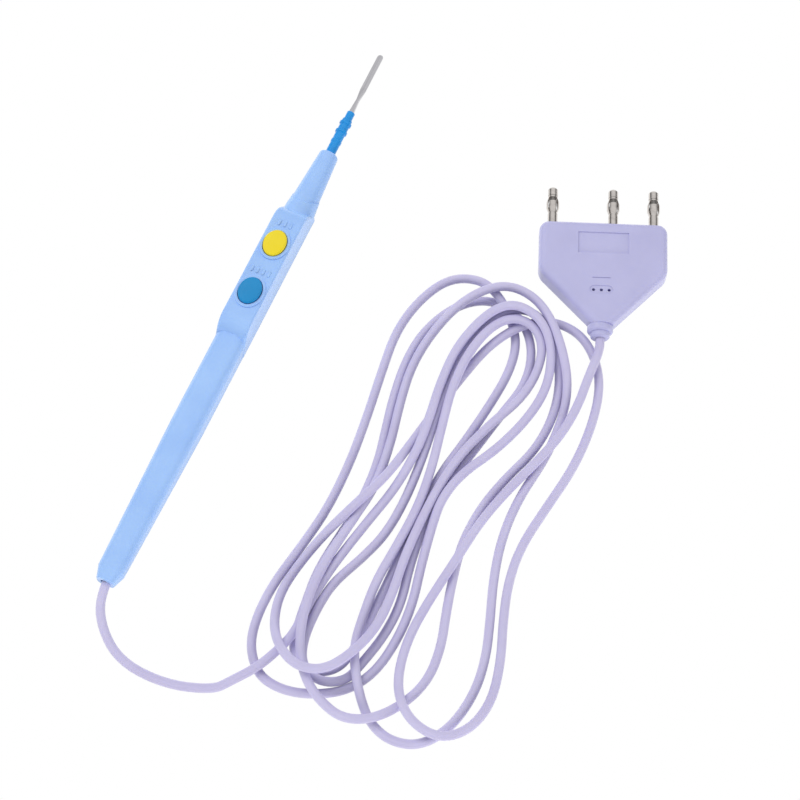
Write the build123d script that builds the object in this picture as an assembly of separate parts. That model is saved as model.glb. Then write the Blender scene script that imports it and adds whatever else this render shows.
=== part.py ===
from build123d import *
import math
import os

# Electrosurgical pencil with its cable and three-pin plug, in millimetres.
# The pencil lies along X with its nose at +X and its underside on z = 0.
# The origin is under the middle of the pencil, electrode included.

# Driving dimensions of the handle
handle_length = 157.6
axis_height = 4.4            # nose axis, cable and the shells' parting plane
wall = 1.3
tail_width = 8.2
tail_height = 8.2
tail_bevel = 4.0             # length of the bevelled end
tail_end_size = 5.4
tail_end_corner = 1.6
tail_corner = 3.2            # all round, where the bevel starts
swell_length = 54.0          # from the tail to the grip's full section
grip_width = 9.8
grip_height = 9.3
grip_corner = 3.6            # upper long edges of the grip
lower_corner = 1.7           # lower long edges of the grip and the housing
inner_corner = 0.4           # least rounding inside the shells
tail_block = 12.0            # solid tail that holds the cable

# Button housing, measured back from the nose
nose_cone_length = 17.1
collar_length = 5.1
housing_length = 51.9
housing_width = 10.0
housing_height = 12.4
housing_edge = 0.8           # rounding of the long upper edges
front_lean = 33.0            # housing front above the nose axis, degrees from upright
rear_lean = 28.0
brow_radius = 6.0            # between the flat top and the leaning ends
roof = 1.5

# Nose
collar_radius = 4.98
collar_step = 0.2
collar_lean = 40.0           # of its front edge, degrees from upright
nose_base_radius = 4.25
nose_radius = 3.1
nose_edge = 0.7

# Push buttons
button_pitch = 17.9          # the pair stands in the middle of the flat top
button_length = 9.1
button_width = 7.1
button_rise = 1.8
button_crown = 20.0          # radius of the crowned top
button_edge = 0.6
button_gap = 0.22
rim_width = 0.85
rim_rise = 0.55
rim_edge = 0.3
flange_length = 10.6
flange_width = 6.7
flange_thickness = 0.8
flange_corner = 2.0
stem_radius = 1.3
press_travel = 0.6

# Switch board and snap domes
board_width = 7.0
board_thickness = 1.0
board_margin = 8.0           # past the button centres at each end
dome_radius = 2.5
dome_height = 0.9
dome_sheet = 0.2
touch_gap = 0.06
rib_thickness = 1.4
rib_width = 4.4

# Electrode
electrode_reach = 40.6       # blade tip beyond the nose
shaft_radius = 1.18
shaft_depth = 19.0
core_radius = 0.75           # wire inside the sleeve
sleeve_radius = 1.62
sleeve_seat = 6.0            # depth of the sleeve inside the nose
hex_length = 5.0
sleeve_length = 16.9         # beyond the nose
sleeve_end_radius = 1.3
sleeve_end_length = 2.6
rings = ((5.2, 1.76), (9.1, 1.96), (12.4, 1.96))    # place beyond the nose, radius
ring_width = 1.4
ring_slope = 0.35
blade_length = 14.5
blade_width = 1.9
blade_thickness = 0.45
neck_width = 0.95
neck_thickness = 1.2
neck_place = 18.5            # back from the tip
socket_radius = 1.9
socket_length = 14.0
running_gap = 0.04

# Cable, its cores and its clamp
cable_diameter = 2.8
cable_out = 7.8              # level cable beyond the tail
core_diameter = 0.8
core_pitch = 0.86            # between the cores where the jacket ends
pad_pitch = 2.0              # between the cores at the board
core_tail = 3.0              # level end of each core at the board
ferrule_radius = 2.3
ferrule_length = 6.0
ferrule_edge = 0.3
ferrule_depth = 3.5          # from the tail's end face
seat_gap = 0.05

# Plug
plug_width = 40.0
plug_side = 17.5             # straight part of the sides
plug_length = 35.0
plug_neck = 6.6
plug_thickness = 8.2
plug_front_corner = 3.2
plug_side_corner = 5.0
plug_edge = 2.2
edge_share = 0.95            # part of the neck that its two rounded edges may take
relief_radius = 4.0
relief_length = 2.2
relief_tip_radius = 3.0
relief_tip_length = 1.8
relief_edge = 0.8
cable_place = -0.6           # beside the plug's middle, as the pins are placed
cable_socket = 5.0           # depth of the cable in the relief
panel_length = 15.8
panel_width = 7.4
panel_depth = 0.35
panel_setback = 7.7          # panel centre behind the front face
gate_setback = 24.1          # centre of the oval recess with the mould holes
gate_length = 7.2
gate_width = 3.0
gate_depth = 0.2
groove_setback = 20.0
groove_length = 5.6
groove_width = 0.4
mould_hole_radius = 0.5
mould_hole_depth = 2.0
mould_hole_pitch = 2.4
plug_front = (69.9, -89.4)   # middle of the front face on the floor
plug_heading = 21.4          # degrees from +X

# Plug pins: spacings 19.05 and 12.7 mm, seen from the left
pin_places = {"left": -15.875, "middle": 3.175, "right": 15.875}
pin_length = 12.9
pin_depth = 7.0
pin_stem_radius = 1.55
pin_stem_length = 3.7
pin_core_radius = 1.15
pin_head_radius = 1.55
pin_head_length = 2.7
pin_tip_radius = 1.15
pin_tip_length = 0.5
spring_radius = 2.0
spring_sheet = 0.25
spring_collar = 0.55
spring_land = 2.0
slot_width = 0.6

# Places along X
tail_x = -(handle_length + electrode_reach) / 2
nose_x = tail_x + handle_length
tip_x = nose_x + electrode_reach
swell_x = tail_x + swell_length
nose_base_x = nose_x - nose_cone_length
front_x = nose_base_x - collar_length
rear_x = front_x - housing_length
front_run = math.tan(math.radians(front_lean))    # of a leaning end, per millimetre of height
rear_run = math.tan(math.radians(rear_lean))
flat_front_x = front_x - front_run * (housing_height - axis_height)
flat_rear_x = rear_x + rear_run * (housing_height - axis_height)
buttons_x = (flat_front_x + flat_rear_x) / 2
cut_x = buttons_x + button_pitch / 2
coag_x = buttons_x - button_pitch / 2
board_rear_x = coag_x - board_margin
board_front_x = cut_x + board_margin
socket_front_x = nose_x - sleeve_seat
socket_rear_x = socket_front_x - socket_length
socket_way_x = front_x - 2 * wall      # the nose bore opens into the housing here
ferrule_x = tail_x + ferrule_depth
jacket_end_x = ferrule_x + ferrule_length

# Heights
roof_z = housing_height - roof
flange_top_z = roof_z - touch_gap
board_top_z = flange_top_z - flange_thickness - press_travel - dome_height - 2 * touch_gap
board_z = board_top_z - board_thickness

# Cable routes chosen by eye along the photograph, on the floor outside the handle
cable_radius = cable_diameter / 2
lead_route = [
    (jacket_end_x, 0, axis_height),
    (tail_x - cable_out, 0, axis_height),
    (-118.0, -13.0, cable_radius),
    (-120.0, -30.0, cable_radius),
    (-114.5, -44.0, cable_radius),
    (-104.0, -52.0, cable_radius),
]
hank_outline = [
    (-109.5, -58), (-105.5, -47.5), (-92, -44.5), (-73, -44.5), (-45, -48.5), (-15, -46), (14, -42.5),
    (33, -49), (41, -68), (37, -84), (31, -97), (22, -108), (2, -114), (-23, -111), (-47, -107), (-72, -117),
    (-90, -120.5), (-104, -109), (-111, -95), (-110, -76),
]
hank_height = 3 * cable_diameter
hank_edge = 2.4
arc_share = 0.45             # part of each run that the arc beside it may take


def along_x(x, middle=axis_height):
    """Plane across the handle at x: local x is +Y, local y is +Z."""
    return Plane((x, 0, middle), x_dir=(0, 1, 0), z_dir=(1, 0, 0))


def rod(x_start, x_end, radius):
    """Round bar on the nose axis between two places."""
    return extrude(along_x(x_start) * Circle(radius), x_end - x_start)


def turned(points):
    """Solid turned about the nose axis from (x, radius) points."""
    upright = Plane((0, 0, axis_height), x_dir=(1, 0, 0), z_dir=(0, -1, 0))
    return revolve(upright * make_face(Polyline(*points, close=True)), Axis((0, 0, axis_height), (1, 0, 0)))


def arc_radii(points, closed=False):
    """Largest arc for each corner that leaves its neighbours room."""
    points = [Vector(*point) for point in points]
    if closed:
        points = [points[-1]] + points + [points[0]]
    radii = []
    for before, corner, after in zip(points, points[1:], points[2:]):
        turn = math.radians((corner - before).get_angle(after - corner))
        shorter = min((corner - before).length, (after - corner).length)
        radii.append(arc_share * shorter / math.tan(turn / 2))
    return radii


def tube(points, radius, name):
    """Round tube along straight runs joined by tangent arcs."""
    radii = arc_radii(points)
    path = FilletPolyline(*points, radius=radii)
    start = Plane(origin=path @ 0, z_dir=path % 0)
    body = sweep(start * Circle(radius), path=path)
    share = body.volume / (math.pi * radius**2 * path.length)
    print(f"{name}: length {path.length:.1f}, arcs {[round(r, 1) for r in radii]}, volume share {share:.4f}")
    return body


# Handle shells


def rounded_block(width, height, upper, lower):
    """Rectangle with its own rounding at the upper and at the lower corners."""
    block = Rectangle(width, height)
    block = fillet(block.vertices().group_by(Axis.Y)[-1], upper)
    return fillet(block.vertices().group_by(Axis.Y)[0], lower)


def grip_section(x, shrink=0.0):
    """Cross-section of the grip at x, drawn in by shrink all round."""
    share = min(1.0, (x - tail_x - tail_bevel) / (swell_length - tail_bevel))
    width = tail_width + share * (grip_width - tail_width) - 2 * shrink
    height = tail_height + share * (grip_height - tail_height) - 2 * shrink
    upper = tail_corner + share * (grip_corner - tail_corner) - shrink
    lower = tail_corner + share * (lower_corner - tail_corner) - shrink
    section = rounded_block(width, height, max(upper, inner_corner), max(lower, inner_corner))
    return along_x(x, height / 2 + shrink) * section


def grip():
    """Grip that swells from its bevelled tail and runs on into the housing."""
    end_face = along_x(tail_x) * rounded_block(tail_end_size, tail_end_size, tail_end_corner, tail_end_corner)
    sections = [grip_section(x) for x in (tail_x + tail_bevel, swell_x, flat_rear_x)]
    return loft([end_face] + sections, ruled=True)


def housing_side(top, bottom, inset=0.0):
    """Side view of the housing: a flat top between leaning ends that are drawn in by inset."""
    rear = rear_x + inset / math.cos(math.radians(rear_lean))
    front = front_x - inset / math.cos(math.radians(front_lean))
    return make_face(Polyline(
        (rear, bottom),
        (rear, axis_height),
        (rear + rear_run * (top - axis_height), top),
        (front - front_run * (top - axis_height), top),
        (front, axis_height),
        (front, bottom),
        close=True,
    ))


def housing():
    """Button housing with soft brows and rounded long edges."""
    side = housing_side(housing_height, 0)
    side = fillet(side.vertices().group_by(Axis.Y)[-1], brow_radius)
    block = extrude(Plane.XZ * side, housing_width / 2, both=True)
    outline = block.faces().filter_by(Axis.Y).edges()
    block = fillet([edge for edge in outline if edge.center().Z > axis_height], housing_edge)
    return fillet(block.edges().group_by(Axis.Z)[0].filter_by(Axis.X), lower_corner)


def nose():
    """Cone that carries the electrode, behind it the wider collar with its leaning front edge."""
    collar_end_radius = nose_base_radius + collar_step
    cone = turned([
        (flat_front_x, 0),
        (flat_front_x, nose_base_radius),
        (nose_base_x, nose_base_radius),
        (nose_x, nose_radius),
        (nose_x, 0),
    ])
    collar = turned([
        (flat_front_x, 0),
        (flat_front_x, collar_radius),
        (front_x, collar_radius),
        (nose_base_x, collar_end_radius),
        (nose_base_x, 0),
    ])
    cone = fillet(cone.edges().sort_by(Axis.X)[-1], nose_edge)
    lean = math.radians(collar_lean)
    cut = Plane((nose_base_x, 0, axis_height), z_dir=(math.cos(lean), 0, math.sin(lean)))
    return cone + split(collar, bisect_by=cut, keep=Keep.BOTTOM)


def cavity():
    """Hollow of the grip and the housing, with the nose bores and the tail's cable way."""
    block_x = tail_x + tail_block
    grip_room = loft([grip_section(x, wall) for x in (block_x, swell_x, flat_rear_x)], ruled=True)
    room = housing_side(roof_z, wall, wall)
    housing_room = extrude(Plane.XZ * room, housing_width / 2 - wall, both=True)
    socket_way = rod(socket_way_x, socket_front_x, socket_radius + seat_gap)
    hexagon = RegularPolygon(sleeve_radius + seat_gap, 6)
    hex_way = extrude(along_x(socket_front_x) * hexagon, hex_length)
    sleeve_way = rod(socket_front_x + hex_length, nose_x + wall, sleeve_radius + seat_gap)
    cable_way = rod(tail_x - wall, block_x + wall, cable_radius + seat_gap)
    ferrule_way = rod(ferrule_x - seat_gap, jacket_end_x + seat_gap, ferrule_radius + seat_gap)
    return grip_room + housing_room + socket_way + hex_way + sleeve_way + cable_way + ferrule_way


def button_oval(x, grow=0.0):
    """Oval of a push button, grown all round."""
    return Pos(x, 0) * Ellipse(button_length / 2 + grow, button_width / 2 + grow)


def handle_shells():
    """Upper and lower shell, parted on the nose axis."""
    outer = grip() + housing() + nose()
    size = 2 * handle_length
    outer = outer & (Pos(0, 0, size / 2) * Box(size, size, size))
    level = Plane.XY.offset(roof_z)
    handle = outer
    for x in (coag_x, cut_x):
        rim = extrude(level * button_oval(x, button_gap + rim_width), roof + rim_rise)
        handle += fillet(rim.edges().group_by(Axis.Z)[-1], rim_edge)
    handle -= cavity()
    for x in (coag_x, cut_x):
        handle -= extrude(level * button_oval(x, button_gap), roof + 2 * rim_rise)
    parting = Plane.XY.offset(axis_height)
    upper = split(handle, bisect_by=parting, keep=Keep.TOP)
    lower = split(handle, bisect_by=parting, keep=Keep.BOTTOM)
    rib_height = board_z - wall / 2
    for x in (board_rear_x + 2 * rib_thickness, (coag_x + cut_x) / 2, board_front_x - 2 * rib_thickness):
        lower += Pos(x, 0, wall / 2 + rib_height / 2) * Box(rib_thickness, rib_width, rib_height)
    return upper, lower


# Buttons, domes and board


def button(x):
    """Oval button with a crowned top, a retaining flange under the roof and a stem."""
    top_z = housing_height + button_rise
    body = extrude(Plane.XY.offset(flange_top_z) * button_oval(x), top_z - flange_top_z)
    crown = Pos(x, 0, top_z - button_crown) * Sphere(button_crown)
    flange = Pos(x, 0, flange_top_z) * RectangleRounded(flange_length, flange_width, flange_corner)
    flange = extrude(flange, -flange_thickness)
    stem_foot = board_top_z + dome_height + touch_gap
    stem = Pos(x, 0, stem_foot) * Cylinder(
        stem_radius, flange_top_z - stem_foot, align=(Align.CENTER, Align.CENTER, Align.MIN)
    )
    body = body & crown
    body = fillet(body.faces().sort_by(Axis.Z)[-1].edges(), button_edge)
    return body + flange + stem


def dome(x):
    """Thin snap dome that stands on the board."""
    outer_r = (dome_radius**2 + dome_height**2) / (2 * dome_height)
    centre_z = board_top_z + dome_height - outer_r
    cap = Sphere(outer_r) - Sphere(outer_r - dome_sheet)
    return split(Pos(x, 0, centre_z) * cap, bisect_by=Plane.XY.offset(board_top_z), keep=Keep.TOP)


def switch_board():
    """Board on the ribs of the lower shell."""
    length = board_front_x - board_rear_x
    middle = (board_front_x + board_rear_x) / 2
    return Pos(middle, 0, board_z + board_thickness / 2) * Box(length, board_width, board_thickness)


# Electrode


def electrode_socket():
    """Brass tube in the nose, closed at its rear end."""
    closed_end = socket_front_x - shaft_depth + sleeve_seat
    tube_wall = rod(socket_rear_x, socket_front_x, socket_radius)
    return tube_wall - rod(closed_end - running_gap, socket_front_x, shaft_radius + running_gap)


def electrode_blade():
    """Shaft, pressed neck and flat blade with a round tip, in one piece."""
    shaft = rod(nose_x - shaft_depth, socket_front_x, shaft_radius)
    core_end = nose_x + sleeve_length
    core = rod(socket_front_x, core_end, core_radius)
    neck_x = tip_x - neck_place
    blade_x = tip_x - blade_length
    half = blade_width / 2
    plan = Curve() + [
        Polyline(
            (tip_x - half, half), (blade_x, half), (neck_x, neck_width / 2), (core_end, core_radius),
            (core_end, -core_radius), (neck_x, -neck_width / 2), (blade_x, -half), (tip_x - half, -half),
        ),
        RadiusArc((tip_x - half, half), (tip_x - half, -half), half),
    ]
    thin = blade_thickness / 2
    side = Polyline(
        (core_end, core_radius), (neck_x, neck_thickness / 2), (blade_x + half, thin), (tip_x, thin),
        (tip_x, -thin), (blade_x + half, -thin), (neck_x, -neck_thickness / 2), (core_end, -core_radius),
        close=True,
    )
    level = Plane.XY.offset(axis_height - core_radius)
    flat = extrude(level * make_face(plan), 2 * core_radius)
    profile = extrude(Plane.XZ * Pos(0, axis_height) * make_face(side), blade_width, both=True)
    return shaft + core + (flat & profile)


def electrode_sleeve():
    """Insulating sleeve: hexagonal seat, barrel with sloped rings and a thinner end."""
    start_x = socket_front_x + seat_gap
    barrel_x = start_x + hex_length
    end_x = nose_x + sleeve_length - seat_gap
    bore = core_radius + seat_gap
    outline = [(barrel_x, bore), (barrel_x, sleeve_radius)]
    for place, radius in rings:
        rear = nose_x + place - ring_width / 2
        front = rear + ring_width
        outline += [(rear, sleeve_radius), (rear + ring_slope, radius), (front - ring_slope, radius)]
        outline += [(front, sleeve_radius)]
    shoulder_x = end_x - sleeve_end_length
    outline += [(shoulder_x - ring_slope, sleeve_radius), (shoulder_x, sleeve_end_radius)]
    outline += [(end_x, sleeve_end_radius), (end_x, bore)]
    hexagon = RegularPolygon(sleeve_radius, 6) - Circle(bore)
    return extrude(along_x(start_x) * hexagon, hex_length) + turned(outline)


# Wires and cable


def core_wire(place):
    """One core of the cable from the jacket's end up to the board's rear edge."""
    pad_z = board_z + board_thickness / 2
    points = [
        (jacket_end_x, place * core_pitch, axis_height),
        (rear_x, place * core_pitch, axis_height),
        (board_rear_x - core_tail, place * pad_pitch, pad_z),
        (board_rear_x, place * pad_pitch, pad_z),
    ]
    return tube(points, core_diameter / 2, "core")


def electrode_lead():
    """Wire from the board's front edge down to the back of the socket."""
    pad_z = board_z + board_thickness / 2
    slope = math.atan2(pad_z - axis_height, socket_way_x - board_front_x)
    points = [
        (board_front_x + core_diameter / 2 * math.sin(slope) + seat_gap, 0, pad_z),
        (socket_way_x, 0, axis_height),
        (socket_rear_x, 0, axis_height),
    ]
    return tube(points, core_diameter / 2, "electrode lead")


def cable_ferrule():
    """Ring crimped on the cable's jacket, caught in the tail."""
    ring = rod(ferrule_x, jacket_end_x, ferrule_radius)
    ring -= rod(ferrule_x, jacket_end_x, cable_radius + seat_gap)
    return chamfer(ring.edges().filter_by(GeomType.CIRCLE).group_by(SortBy.RADIUS)[-1], ferrule_edge)


def cable_hank():
    """Closed solid of the hank's outer shape."""
    outline = FilletPolyline(*hank_outline, radius=arc_radii(hank_outline, closed=True), close=True)
    body = extrude(make_face(outline), hank_height)
    return chamfer(body.edges().group_by(Axis.Z)[-1], hank_edge)


# Plug

plug_frame = Pos(*plug_front, 0) * Rot(0, 0, plug_heading)
pin_z = plug_thickness / 2


def plug_bar(start, end, radius, across=0.0):
    """Round bar along the plug's axis: positive places stand out of the front face."""
    base = Plane((start, -across, pin_z), x_dir=(0, 1, 0), z_dir=(1, 0, 0))
    return extrude(base * Circle(radius), end - start)


def cable_tail(hank):
    """Short free length of cable between the strain relief and the hank."""
    relief_end = -plug_length - relief_length - relief_tip_length
    reach = 3 * cable_diameter
    bar = plug_bar(relief_end - reach, relief_end + cable_socket - seat_gap, cable_radius, cable_place)
    outside = plug_frame * bar - hank
    return outside.solids().sort_by(Axis.X)[-1]


def strain_relief():
    """Two soft rings behind the plug, bored for the cable."""
    step = -plug_length - relief_length
    end = step - relief_tip_length
    ring = plug_bar(step, -plug_length + relief_edge / 2, relief_radius, cable_place)
    tip = plug_bar(end, step + relief_edge, relief_tip_radius, cable_place)
    ring = fillet(ring.edges().filter_by(GeomType.CIRCLE), relief_edge)
    tip = fillet(tip.edges().filter_by(GeomType.CIRCLE), relief_edge)
    return ring + tip, plug_bar(end, end + cable_socket, cable_radius + seat_gap, cable_place)


def plug_marks():
    """Shallow marks of the mould on the plug's upper face: panel, groove, oval recess and three holes."""
    top = Plane.XY.offset(plug_thickness)
    middle = -cable_place
    gate = Pos(-gate_setback, middle) * Rot(0, 0, 90) * SlotOverall(gate_length, gate_width)
    marks = extrude(top * Pos(-panel_setback, 0) * Rectangle(panel_width, panel_length), -panel_depth)
    marks += extrude(top * Pos(-groove_setback, middle) * Rectangle(groove_width, groove_length), -gate_depth)
    marks += extrude(top * gate, -gate_depth)
    for step in (-1, 0, 1):
        place = Pos(-gate_setback, middle + step * mould_hole_pitch)
        marks += extrude(top * place * Circle(mould_hole_radius), -mould_hole_depth)
    return marks


def plug_body():
    """Overmoulded plug with its strain relief and the holes for the pins."""
    half = plug_width / 2
    outline = Polyline(
        (0, half), (0, -half), (-plug_side, -half), (-plug_length, -plug_neck / 2),
        (-plug_length, plug_neck / 2), (-plug_side, half), close=True,
    )
    face = make_face(outline)
    corners = face.vertices().sort_by(Axis.X)
    face = fillet(corners[2:4], plug_side_corner)
    face = fillet(face.vertices().group_by(Axis.X)[-1], plug_front_corner)
    body = extrude(face, plug_thickness)
    slant = math.atan2(plug_length - plug_side, half - plug_neck / 2)
    edge = min(plug_edge, edge_share * plug_neck / 2 * math.sin(slant))
    body = fillet(body.edges().group_by(Axis.Z)[-1].sort_by(Axis.X)[1:], edge)
    body = fillet(body.edges().group_by(Axis.Z)[0].sort_by(Axis.X)[1:], edge)
    relief, cable_hole = strain_relief()
    body = body + relief - cable_hole - plug_marks()
    for place in pin_places.values():
        body -= plug_bar(-pin_depth, plug_edge, pin_stem_radius + seat_gap, place)
    return plug_frame * body


def turned_pin(points):
    """Solid turned about a pin's axis from points along it and away from it."""
    return revolve(Plane.XZ * make_face(Polyline(*points, close=True)), Axis.X)


def pin_frame(place):
    """Front end of a pin's hole, with X along the pin."""
    return plug_frame * Pos(0, -place, pin_z)


def plug_pin(place):
    """Turned core: stem, thin middle under the spring and a head with a tapered tip."""
    neck_end = pin_length - pin_head_length
    return pin_frame(place) * turned_pin([
        (-pin_depth, 0),
        (-pin_depth, pin_stem_radius),
        (pin_stem_length, pin_stem_radius),
        (pin_stem_length, pin_core_radius),
        (neck_end, pin_core_radius),
        (neck_end, pin_head_radius),
        (pin_length - pin_tip_length, pin_head_radius),
        (pin_length, pin_tip_radius),
        (pin_length, 0),
    ])


def lantern_spring(place):
    """Bulged sheet cage on the pin's middle, slit into four leaves."""
    start = pin_stem_length + seat_gap
    end = pin_length - pin_head_length - seat_gap
    inner = pin_core_radius + seat_gap
    outer = inner + spring_sheet
    bulge = spring_radius - spring_sheet
    middle = (start + end) / 2
    cage = turned_pin([
        (start, inner), (start, outer), (start + spring_collar, outer),
        (middle - spring_land / 2, spring_radius), (middle + spring_land / 2, spring_radius),
        (end - spring_collar, outer), (end, outer), (end, inner), (end - spring_collar, inner),
        (middle + spring_land / 2, bulge), (middle - spring_land / 2, bulge), (start + spring_collar, inner),
    ])
    slit_length = end - start - 2 * spring_collar
    for turn in (45, 135):
        cage -= Pos(middle, 0, 0) * Rot(turn, 0, 0) * Box(slit_length, slot_width, 3 * spring_radius)
    return pin_frame(place) * cage


def build():
    """Every piece by name."""
    upper, lower = handle_shells()
    hank = cable_hank()
    pieces = {
        "top_shell": upper,
        "bottom_shell": lower,
        "cut_button": button(cut_x),
        "coag_button": button(coag_x),
        "cut_dome": dome(cut_x),
        "coag_dome": dome(coag_x),
        "switch_board": switch_board(),
        "electrode_socket": electrode_socket(),
        "electrode_lead": electrode_lead(),
        "active_wire": core_wire(0),
        "cut_wire": core_wire(1),
        "coag_wire": core_wire(-1),
        "cable_ferrule": cable_ferrule(),
        "electrode_blade": electrode_blade(),
        "electrode_sleeve": electrode_sleeve(),
        "cable_lead": tube(lead_route, cable_radius, "cable lead") - hank,
        "cable_hank": hank,
        "cable_tail": cable_tail(hank),
        "plug_body": plug_body(),
    }
    for name, place in pin_places.items():
        pieces[f"{name}_pin"] = plug_pin(place)
        pieces[f"{name}_spring"] = lantern_spring(place)
    return pieces


os.makedirs("parts", exist_ok=True)
for node, piece in build().items():
    export_step(piece, f"parts/{node}.step")
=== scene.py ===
import math

import bmesh
import bpy
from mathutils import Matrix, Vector


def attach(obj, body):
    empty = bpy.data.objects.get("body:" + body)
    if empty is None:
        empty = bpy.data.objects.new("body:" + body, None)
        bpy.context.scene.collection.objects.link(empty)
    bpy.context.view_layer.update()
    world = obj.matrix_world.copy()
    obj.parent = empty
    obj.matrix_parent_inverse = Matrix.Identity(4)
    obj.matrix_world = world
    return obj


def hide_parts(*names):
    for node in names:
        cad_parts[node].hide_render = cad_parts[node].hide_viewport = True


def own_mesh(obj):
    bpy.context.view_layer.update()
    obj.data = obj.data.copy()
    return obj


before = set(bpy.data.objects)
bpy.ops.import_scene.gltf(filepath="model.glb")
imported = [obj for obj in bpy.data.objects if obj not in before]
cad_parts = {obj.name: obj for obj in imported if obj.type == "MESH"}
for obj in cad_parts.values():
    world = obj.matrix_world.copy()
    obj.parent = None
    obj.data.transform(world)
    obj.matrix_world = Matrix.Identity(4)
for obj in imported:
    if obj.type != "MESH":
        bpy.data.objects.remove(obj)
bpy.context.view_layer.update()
scene = bpy.context.scene
scene.view_settings.view_transform = "Standard"

# Camera: assumed to look down on the floor at 66 degrees; the photograph is 800 px square
IMAGE_SIZE = 800
FOCAL_PX = 2290.0
SENSOR_WIDTH = 36.0
CLIP_START = 0.01
CAMERA_DISTANCE = 0.700
CAMERA_TILT = math.radians(66.0)
FLOOR_CENTRE = Vector((-0.0087, -0.0545, 0.0))   # floor point in the middle of the picture
PICTURE_RIGHT = Vector((0.4056, -0.9140, 0.0))
PICTURE_AWAY = Vector((0.9140, 0.4056, 0.0))

camera_back = Vector((0, 0, math.sin(CAMERA_TILT))) - PICTURE_AWAY * math.cos(CAMERA_TILT)
camera = bpy.data.objects.new("camera", bpy.data.cameras.new("camera"))
camera.data.sensor_width = SENSOR_WIDTH
camera.data.lens = FOCAL_PX * SENSOR_WIDTH / IMAGE_SIZE
camera.data.clip_start = CLIP_START
camera.location = FLOOR_CENTRE + camera_back * CAMERA_DISTANCE
camera.rotation_euler = (-camera_back).to_track_quat("-Z", "Y").to_euler()
scene.collection.objects.link(camera)
scene.camera = camera


def floor_point(px, py, height):
    """The point of the object's frame at a height over the floor that shows at a pixel."""
    across = (px - IMAGE_SIZE / 2) / FOCAL_PX
    up = (IMAGE_SIZE / 2 - py) / FOCAL_PX
    sine, cosine = math.sin(CAMERA_TILT), math.cos(CAMERA_TILT)
    away = (up * (CAMERA_DISTANCE - height * sine) - height * cosine) / (sine - up * cosine)
    depth = CAMERA_DISTANCE + away * cosine - height * sine
    point = FLOOR_CENTRE + PICTURE_RIGHT * (across * depth) + PICTURE_AWAY * away
    point.z = height
    return point


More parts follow.
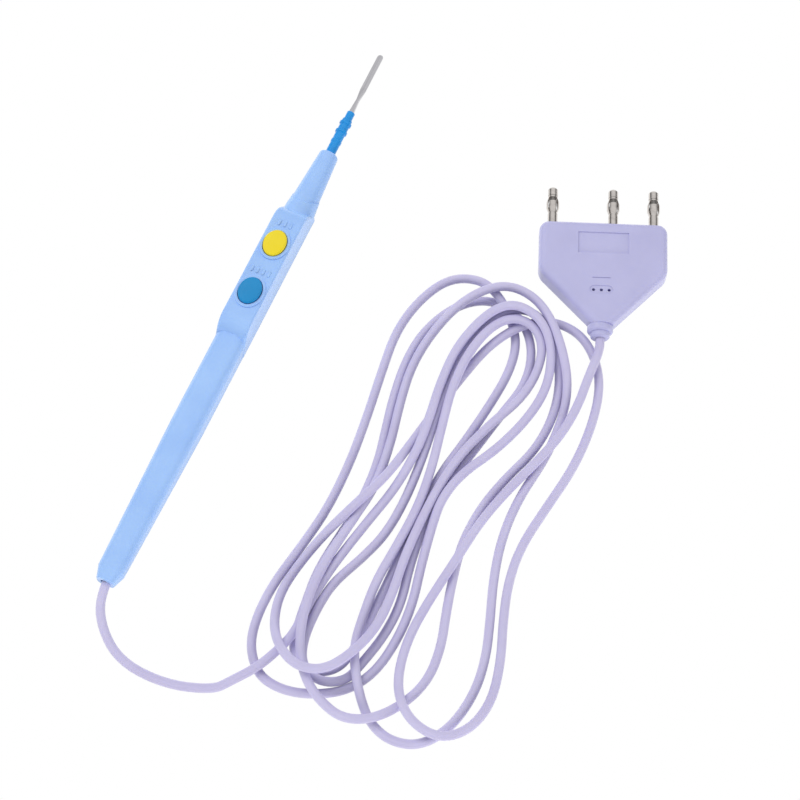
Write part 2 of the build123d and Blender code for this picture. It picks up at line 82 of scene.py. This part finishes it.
# Cable: its middle line was followed in the photograph, from the handle's tail to the plug,
# and then its points were moved apart where strands ran through each other.
# Each point of the hank is a pixel and a layer: 0 lies on the floor, 1 on top of one cable,
# and so on.
CABLE_DIAMETER = 0.0028
CABLE_RADIUS = CABLE_DIAMETER / 2
CABLE_SIDES = 5        # bevel resolution
CABLE_STEPS = 6        # between two points
CABLE_ORDER = 3
LEAD = [
    (-0.0895, 0.0, 0.0044), (-0.1005, 0.0, 0.0044), (-0.1095, -0.0030, 0.0030),
    (-0.1180, -0.0130, 0.0014), (-0.1192, -0.0285, 0.0014), (-0.1150, -0.0425, 0.0014),
]
HANK = [
    # from the lead into the first loop
    (231, 680.8, 0.46), (258, 666.8, 1.07), (277, 650.7, 1.08), (293.1, 634.6, 1.12),
    (304.2, 612.9, 0.95), (317.4, 588.5, 0.72), (336.5, 560.6, 0.51), (367.1, 522.1, 0.57),
    (395.7, 487.8, 0.84), (417.5, 449.6, 1.27), (429.5, 417.6, 1.77), (439.7, 384.8, 1.84),
    (454.9, 350, 2.01), (475, 325, 2.32), (494.8, 308.8, 2.81), (514.4, 303.7, 3.04),
    (534.3, 312.9, 2.83), (547.2, 330, 2.31), (552.3, 355.1, 1.51), (547.1, 388, 1.1),
    (528.4, 418, 1.02), (497.2, 449.1, 1), (461.6, 473.3, 1), (440.9, 499.4, 1),
    (431.6, 527.3, 0.8), (421.2, 565.1, 0.5), (413, 603, 0.2), (398.5, 637.9, 0), (376.4, 671.3, 0),
    (348.9, 689.9, 0), (317.3, 694.8, 0), (285.4, 691.4, 0), (261, 678.1, 0), (252, 658, 0),
    # second loop
    (251, 636, 0), (260, 609, 0), (276, 580, 0), (301, 547, 0), (327, 510, 0), (350, 463, 0),
    (367, 417, 0), (381, 374, 0), (396, 331, 0), (420, 299.1, 0.18), (450, 277.9, 0.53),
    (482.1, 279.7, 1.24), (500.2, 297, 1.4), (512, 322.1, 0.28), (517, 345, 0), (509, 373, 0),
    (490, 405, 0), (464.8, 441.9, 0), (440.5, 473.8, 0), (420.3, 511.7, 0), (401.5, 552.8, 0),
    (385.8, 586.9, 0), (369, 619.9, 0), (350, 657, 0), (333, 671.5, 0), (309.6, 671.5, 0),
    (293.4, 656, 0),
    # third loop
    (294.6, 634.9, 0), (304.9, 604.8, 0), (317.9, 569, 0), (345.6, 527.5, 0), (364.5, 495.3, 0),
    (378.3, 461.4, 0), (385.7, 429.6, 0), (393.1, 397.8, 0), (405.6, 360.9, 0), (423.9, 331, 0),
    (452, 308, 0), (482, 299, 0), (508, 307, 0), (526, 326, 0), (533, 354, 0), (525, 386, 0),
    (500.1, 416, 0), (471.3, 454.1, 0), (440.7, 492.3, 0), (423.7, 525.3, 0), (409.4, 566.2, 0),
    (401.1, 603.8, 0), (384.5, 635.6, 0.02), (361.9, 663.5, 0.07), (345.5, 681.4, 0.25),
    (319.6, 682.3, 0.85), (301.9, 666.1, 1.22),
    # fourth loop
    (302.6, 641, 0.9), (315.5, 610.7, 0.56), (332.6, 583, 0.03), (361.1, 559, 0), (386.1, 534, 0),
    (407.3, 496.2, 0.19), (424.5, 452.3, 0.62), (439.4, 406.2, 1.05), (453, 372.1, 1.03),
    (471.8, 341, 1.18), (491.7, 319.8, 1.54), (511.7, 309.3, 1.8), (531.4, 310.6, 1.97),
    (546.2, 324.8, 1.57), (556.3, 349.7, 0.82), (560.5, 382.1, 0.13), (553.7, 416.9, 0),
    (534.9, 451, 0), (505, 479, 0), (480, 509, 0), (461, 545, 0), (452, 582, 0), (446, 614, 0),
    (441, 648, 0), (428, 680.9, 0.31), (403, 704.8, 0.87), (371, 719.6, 1.14), (341.9, 718.5, 1.19),
    (322, 703, 1.2), (308, 684, 2), (300, 659.8, 2.23),
    # fifth loop
    (299.7, 632.5, 2.2), (307.5, 597.1, 1.86), (325.5, 560.2, 1.22), (352.9, 519.3, 0.97),
    (375.9, 485.5, 0.69), (390.8, 443.2, 0.57), (400.2, 401.9, 0.5), (411.5, 365.9, 0.54),
    (431.1, 333.8, 0.95), (456.1, 306.2, 1.7), (483.2, 289.4, 2.29), (508.9, 284.8, 2.37),
    (533.7, 296, 2.4), (550.9, 317.7, 2.39), (563.2, 350.7, 1.94), (568.5, 386.2, 0.84),
    (562.4, 420, 0.01), (545.2, 459, 0), (518.1, 499, 0), (501, 540, 0), (493, 582, 0),
    (490, 622, 0), (486, 658, 0), (475, 693, 0), (452, 727, 0), (421, 746, 0), (391, 742, 0),
    (370, 724, 0), (360, 697.5, 0.7), (355, 670.3, 1.22),
    # sixth loop
    (354, 644.6, 1.09), (363, 616, 0.98), (375.9, 581, 0.98), (396.8, 545.9, 1), (417.7, 507.9, 1),
    (431.9, 467.9, 1.01), (442.2, 424.9, 1.42), (452.3, 385.9, 1.79), (468.4, 352.9, 1.97),
    (488.2, 328.8, 2.11), (509.9, 317, 2.2), (532.1, 323, 1.96), (543.5, 343.9, 1.43),
    (538.2, 371.3, 0.95), (521.9, 398.2, 0.97), (490.7, 423.9, 1), (460.6, 453.8, 1),
    (438.4, 486.7, 1), (420.6, 520.8, 1), (404.9, 555.9, 1.01), (393, 591.8, 1.05),
    (378, 625.5, 1.54), (354, 651.4, 2.2), (325, 670, 3), (298, 667, 3.3), (280, 649, 2.8),
    # seventh loop
    (273, 625, 1.5), (279, 594.7, 0.49), (296.8, 566.6, 0.11), (324.5, 533.7, 0.91),
    (358.4, 501.1, 1.93), (385.6, 476.6, 1.78), (408.7, 446.7, 0.8), (433.7, 412.6, 0),
    (459.8, 379.5, 0.08), (485.1, 349.2, 0.76), (512.1, 329.4, 1.28), (539.9, 320.7, 0.73),
    (563.8, 324.6, 0.01), (584, 338, 0), (597, 363, 0), (600, 392, 0), (591, 429, 0), (573, 469, 0),
    (547, 507, 0), (521, 546, 0), (508, 583, 0), (503, 622, 0), (501, 661, 0.2), (492, 702, 0.6),
    (470, 730, 1), (440, 738.9, 1.21), (413, 723.9, 1.82), (399, 699.9, 1.93),
    # back up to the plug
    (398, 671.9, 1.03), (409, 635.9, 0.42), (430, 598.8, 0.65), (456, 559.7, 1.07),
    (480, 521.8, 0.86), (508, 489.8, 0.64), (538.9, 459.8, 0.93), (561.9, 433.9, 1.12),
    (578, 406, 1.11), (588, 378, 1.1),
]
PLUG_END = [(0.0297, -0.1045, 0.0041), (0.0338, -0.1029, 0.0041), (0.0380, -0.1013, 0.0041)]


def hank_point(px, py, layer):
    """Middle of the cable at a pixel when it lies on so many cables."""
    return floor_point(px, py, CABLE_RADIUS + layer * CABLE_DIAMETER)


def make_cable():
    """The whole cable as one smooth round curve."""
    points = [Vector(p) for p in LEAD]
    points += [hank_point(*p) for p in HANK]
    points += [Vector(p) for p in PLUG_END]
    curve = bpy.data.curves.new("cable", "CURVE")
    curve.dimensions = "3D"
    curve.bevel_depth = 1.0   # times each point's radius
    curve.bevel_resolution = CABLE_SIDES
    curve.resolution_u = CABLE_STEPS
    curve.use_fill_caps = True
    spline = curve.splines.new("NURBS")
    spline.points.add(len(points) - 1)
    for knot, point in zip(spline.points, points):
        knot.co = (*point, 1.0)
        knot.radius = CABLE_RADIUS
    spline.order_u = CABLE_ORDER
    spline.use_endpoint_u = True
    cable = bpy.data.objects.new("cable", curve)
    scene.collection.objects.link(cable)
    return cable


cable = make_cable()
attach(cable, "handle")
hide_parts("cable_lead", "cable_hank", "cable_tail")

# Materials

NOISE_LOW, NOISE_HIGH = 0.3, 0.7        # part of the noise's range that is used
CLOUD_SCALE = 90
GLOSS_SCALE = 260
GRAIN_DETAIL = 2.0
GRAIN_STRENGTH = 0.25
GRAIN_DEPTH = 0.000003
SOFT_RADIUS = (0.6, 0.7, 1.0)
SOFT_SCALE = 0.0012
LINE_SCALE = 1800
LINE_DETAIL = 4.0
LINE_STRENGTH = 0.3
LINE_DEPTH = 0.000006


def srgb(red, green, blue):
    """A colour written in 0 to 255 steps, as the shader takes it."""
    steps = [value / 255 for value in (red, green, blue)]
    linear = [s / 12.92 if s <= 0.04045 else ((s + 0.055) / 1.055) ** 2.4 for s in steps]
    return (*linear, 1.0)


def new_material(name):
    """A principled material with its nodes, links and shader."""
    material = bpy.data.materials.new(name)
    material.use_nodes = True
    nodes, links = material.node_tree.nodes, material.node_tree.links
    return material, nodes, links, nodes["Principled BSDF"]


def noise(nodes, links, scale, detail=3.0, stretch=(1, 1, 1)):
    """Noise in the object's own metres; stretch draws it out along an axis."""
    place = nodes.new("ShaderNodeTexCoord")
    mapping = nodes.new("ShaderNodeMapping")
    mapping.inputs["Scale"].default_value = stretch
    texture = nodes.new("ShaderNodeTexNoise")
    texture.inputs["Scale"].default_value = scale
    texture.inputs["Detail"].default_value = detail
    links.new(place.outputs["Object"], mapping.inputs["Vector"])
    links.new(mapping.outputs["Vector"], texture.inputs["Vector"])
    return texture.outputs["Fac"]


def map_range(nodes, links, source, spans, target, smooth=False):
    """Maps a value from one span to another, as (from, from, to, to), onto a socket."""
    spread = nodes.new("ShaderNodeMapRange")
    if smooth:
        spread.interpolation_type = "SMOOTHSTEP"
    for name, value in zip(("From Min", "From Max", "To Min", "To Max"), spans):
        spread.inputs[name].default_value = value
    links.new(source, spread.inputs["Value"])
    links.new(spread.outputs["Result"], target)


def tint(nodes, links, source, dark, light, target):
    """Blends between two colours by noise."""
    ramp = nodes.new("ShaderNodeValToRGB")
    ends = zip(ramp.color_ramp.elements, (NOISE_LOW, NOISE_HIGH), (dark, light))
    for element, position, color in ends:
        element.position = position
        element.color = color
    links.new(source, ramp.inputs["Fac"])
    links.new(ramp.outputs["Color"], target)


def bump(nodes, links, source, strength, depth, shader):
    """Fine relief on the surface."""
    relief = nodes.new("ShaderNodeBump")
    relief.inputs["Strength"].default_value = strength
    relief.inputs["Distance"].default_value = depth
    links.new(source, relief.inputs["Height"])
    links.new(relief.outputs["Normal"], shader.inputs["Normal"])


def plastic(name, dark, light, rough=(0.18, 0.26), grain=2600, soft=0.0):
    """Moulded plastic with a faint cloudiness, a fine grain and uneven gloss."""
    material, nodes, links, shader = new_material(name)
    clouds = noise(nodes, links, CLOUD_SCALE)
    tint(nodes, links, clouds, dark, light, shader.inputs["Base Color"])
    gloss = noise(nodes, links, GLOSS_SCALE)
    map_range(nodes, links, gloss, (NOISE_LOW, NOISE_HIGH, *rough), shader.inputs["Roughness"])
    fine = noise(nodes, links, grain, GRAIN_DETAIL)
    bump(nodes, links, fine, GRAIN_STRENGTH, GRAIN_DEPTH, shader)
    if soft:
        shader.inputs["Subsurface Weight"].default_value = soft
        shader.inputs["Subsurface Radius"].default_value = SOFT_RADIUS
        shader.inputs["Subsurface Scale"].default_value = SOFT_SCALE
    return material


def metal(name, dark, light, rough, stretch):
    """Bare metal with fine lines drawn out along its working direction."""
    material, nodes, links, shader = new_material(name)
    shader.inputs["Metallic"].default_value = 1.0
    lines = noise(nodes, links, LINE_SCALE, LINE_DETAIL, stretch)
    tint(nodes, links, lines, dark, light, shader.inputs["Base Color"])
    map_range(nodes, links, lines, (NOISE_LOW, NOISE_HIGH, *rough), shader.inputs["Roughness"])
    bump(nodes, links, lines, LINE_STRENGTH, LINE_DEPTH, shader)
    return material


SHELL = plastic("shell_blue", srgb(158, 196, 252), srgb(166, 203, 255), grain=1600, soft=0.1)
YELLOW = plastic("cut_yellow", srgb(240, 216, 30), srgb(247, 226, 46), rough=(0.26, 0.36))
BLUE = plastic("coag_blue", srgb(14, 136, 198), srgb(28, 146, 210), rough=(0.26, 0.36))
SLEEVE = plastic(
    "sleeve_blue", srgb(24, 144, 222), srgb(38, 158, 236), rough=(0.24, 0.34), grain=3200)
PLUG = plastic("plug_lilac", srgb(187, 186, 226), srgb(194, 193, 232), soft=0.1)
CABLE = plastic(
    "cable_lilac", srgb(200, 194, 228), srgb(207, 202, 234), rough=(0.3, 0.4), grain=1400, soft=0.1)
CORE = plastic("core_insulation", srgb(205, 60, 50), srgb(214, 72, 60))
BOARD = plastic("board_green", srgb(38, 105, 60), srgb(48, 120, 70))
STEEL = metal(
    "blade_steel", srgb(192, 191, 196), srgb(218, 217, 221), (0.2, 0.34), (0.05, 1, 1))
NICKEL = metal(
    "pin_nickel", srgb(204, 198, 194), srgb(228, 222, 217), (0.12, 0.24), (1, 0.1, 0.1))
SPRING_STEEL = metal(
    "dome_steel", srgb(190, 190, 192), srgb(212, 212, 214), (0.15, 0.25), (1, 1, 0.2))
BRASS = metal(
    "socket_brass", srgb(206, 168, 92), srgb(222, 186, 112), (0.2, 0.32), (0.1, 1, 1))
ALUMINIUM = metal(
    "ferrule_metal", srgb(190, 190, 194), srgb(210, 210, 214), (0.25, 0.4), (0.1, 1, 1))

FINISHES = {
    "top_shell": SHELL, "bottom_shell": SHELL, "cut_button": YELLOW, "coag_button": BLUE,
    "cut_dome": SPRING_STEEL, "coag_dome": SPRING_STEEL, "switch_board": BOARD,
    "electrode_socket": BRASS, "electrode_lead": CORE, "active_wire": CORE, "cut_wire": CORE,
    "coag_wire": CORE, "cable_ferrule": ALUMINIUM, "electrode_blade": STEEL,
    "electrode_sleeve": SLEEVE, "plug_body": PLUG,
    "left_pin": NICKEL, "middle_pin": NICKEL, "right_pin": NICKEL,
    "left_spring": NICKEL, "middle_spring": NICKEL, "right_spring": NICKEL,
}
for name, finish in FINISHES.items():
    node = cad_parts[name]
    node.data.materials.clear()
    node.data.materials.append(finish)
cable.data.materials.append(CABLE)

# Switch domes: copies of the solids, set on the handle in their place


def make_snap(name, node_name):
    """Copy of a dome, with its material, that stands on the handle in place of the solid."""
    snap = bpy.data.objects.new(name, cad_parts[node_name].data.copy())
    scene.collection.objects.link(snap)
    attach(snap, "handle")
    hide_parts(node_name)
    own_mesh(snap)


make_snap("cut_snap", "cut_dome")
make_snap("coag_snap", "coag_dome")

# Marks: plain raised bars ahead of each button, three for cut and four for coagulate

MARK_FOOT = 0.0123                # under the housing's flat top
MARK_TOP = 0.01265
CUT_MARKS_X = 0.0264
COAG_MARKS_X = 0.0085
BAR_LENGTH = 0.0022
BAR_WIDTH = 0.0008
BAR_PITCH = 0.0019
BAR_EDGE = BAR_WIDTH / 6          # soft upper edge
BAR_STEPS = 24                    # points round a bar
BAR_LEVELS = (                    # height, and how far the outline grows
    (MARK_FOOT, 0.0), (MARK_TOP - BAR_EDGE, 0.0),
    (MARK_TOP - BAR_EDGE / 3, -BAR_EDGE / 3), (MARK_TOP, -BAR_EDGE),
)


def bar_ring(bm, x, y, z, grow):
    """Ring of points round one bar with half-round ends."""
    half = BAR_WIDTH / 2 + grow
    reach = BAR_LENGTH / 2 - BAR_WIDTH / 2
    ring = []
    for step in range(BAR_STEPS):
        turn = 2 * math.pi * step / BAR_STEPS
        shift = reach if math.cos(turn) >= 0 else -reach
        place = (x + shift + half * math.cos(turn), y + half * math.sin(turn), z)
        ring.append(bm.verts.new(place))
    return ring


def make_marks(name, x, count):
    """Row of raised bars across the housing's flat top."""
    bm = bmesh.new()
    for index in range(count):
        y = (index - (count - 1) / 2) * BAR_PITCH
        rings = [bar_ring(bm, x, y, z, grow) for z, grow in BAR_LEVELS]
        for low, high in zip(rings, rings[1:]):
            for step in range(BAR_STEPS):
                after = (step + 1) % BAR_STEPS
                bm.faces.new((low[step], low[after], high[after], high[step]))
        bm.faces.new(rings[-1])
        bm.faces.new(rings[0][::-1])
    mesh = bpy.data.meshes.new(name)
    bm.to_mesh(mesh)
    bm.free()
    for face in mesh.polygons:
        face.use_smooth = True
    marks = bpy.data.objects.new(name, mesh)
    scene.collection.objects.link(marks)
    marks.data.materials.append(SHELL)
    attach(marks, "handle")


make_marks("cut_marks", CUT_MARKS_X, 3)
make_marks("coag_marks", COAG_MARKS_X, 4)

# Floor, light and world

WHITE = (1, 1, 1, 1)
FLOOR_SIZE = 1.1
FLOOR_COLOUR = (0.9, 0.9, 0.9, 1)
FLOOR_ROUGHNESS = 0.9
TENT_FRONT = (-0.61, -0.27, 0.74)          # towards the front of the tent, where it is dark
TENT_LIGHT = (0.55, 0.9, 0.72, 0.2)        # from this far off the front to its middle, light falls
TENT_MIRRORED = (0.2, 0.85, 0.12, 0.8)     # from this height of a mirrored ray up, it grows brighter
LAMPS = (                                  # name, place, size, power
    ("key", (0.27, 0.60, 0.95), 0.8, 6.3),
    ("front", (-1.0, -0.44, 0.18), 0.5, 5.0),
    ("right", (0.10, -1.04, 0.08), 0.5, 2.8),
)


def any_ray(nodes, links, *kinds):
    """1 where a ray is of one of these kinds."""
    rays = nodes.new("ShaderNodeLightPath")
    seen = rays.outputs[kinds[0]]
    for kind in kinds[1:]:
        either = nodes.new("ShaderNodeMath")
        either.operation = "MAXIMUM"
        links.new(seen, either.inputs[0])
        links.new(rays.outputs[kind], either.inputs[1])
        seen = either.outputs["Value"]
    return seen


def mix(nodes, links, share, first, second):
    """Blend of two shaders."""
    blend = nodes.new("ShaderNodeMixShader")
    links.new(share, blend.inputs["Fac"])
    links.new(first, blend.inputs[1])
    links.new(second, blend.inputs[2])
    return blend.outputs["Shader"]


def make_floor():
    """Pale sheet under the object that the camera and the mirrors see as white."""
    bpy.ops.mesh.primitive_plane_add(size=FLOOR_SIZE, location=FLOOR_CENTRE)
    floor = bpy.context.object
    floor.name = "floor"
    material, nodes, links, shader = new_material("floor_white")
    shader.inputs["Base Color"].default_value = FLOOR_COLOUR
    shader.inputs["Roughness"].default_value = FLOOR_ROUGHNESS
    glow = nodes.new("ShaderNodeEmission")
    glow.inputs["Strength"].default_value = 1.0
    seen = any_ray(nodes, links, "Is Camera Ray", "Is Glossy Ray", "Is Transmission Ray")
    surface = mix(nodes, links, seen, shader.outputs["BSDF"], glow.outputs["Emission"])
    links.new(surface, nodes["Material Output"].inputs["Surface"])
    material.cycles.emission_sampling = "NONE"   # its white shows to these rays but is no lamp
    floor.data.materials.append(material)


def make_world():
    """Soft light tent: white where it is seen, dim near the horizon in mirrors, dark in front."""
    world = bpy.data.worlds.new("world")
    scene.world = world
    world.use_nodes = True
    world.cycles.sampling_method = "NONE"   # smooth enough not to be sampled as a lamp
    nodes, links = world.node_tree.nodes, world.node_tree.links
    place = nodes.new("ShaderNodeTexCoord").outputs["Generated"]
    soft = nodes["Background"]
    mirrored = nodes.new("ShaderNodeBackground")
    white = nodes.new("ShaderNodeBackground")
    for background in (soft, mirrored, white):
        background.inputs["Color"].default_value = WHITE
    white.inputs["Strength"].default_value = 1.0

    front = nodes.new("ShaderNodeVectorMath")
    front.operation = "DOT_PRODUCT"
    front.inputs[1].default_value = TENT_FRONT
    links.new(place, front.inputs[0])
    map_range(nodes, links, front.outputs["Value"], TENT_LIGHT, soft.inputs["Strength"], smooth=True)

    height = nodes.new("ShaderNodeSeparateXYZ")
    links.new(place, height.inputs["Vector"])
    rise = height.outputs["Z"]
    map_range(nodes, links, rise, TENT_MIRRORED, mirrored.inputs["Strength"], smooth=True)

    glossy = mix(
        nodes, links, any_ray(nodes, links, "Is Glossy Ray"),
        soft.outputs["Background"], mirrored.outputs["Background"])
    seen = mix(
        nodes, links, any_ray(nodes, links, "Is Camera Ray", "Is Transmission Ray"),
        glossy, white.outputs["Background"])
    links.new(seen, nodes["World Output"].inputs["Surface"])


def area_light(name, place, size, power):
    """Soft lamp that points at the middle of the picture and isn't seen in mirrors."""
    data = bpy.data.lights.new(name, "AREA")
    data.shape = "DISK"
    data.size = size
    data.energy = power
    lamp = bpy.data.objects.new(name, data)
    lamp.location = place
    lamp.visible_glossy = False
    lamp.rotation_euler = (FLOOR_CENTRE - Vector(place)).to_track_quat("-Z", "Y").to_euler()
    scene.collection.objects.link(lamp)


make_floor()
make_world()
for lamp in LAMPS:
    area_light(*lamp)
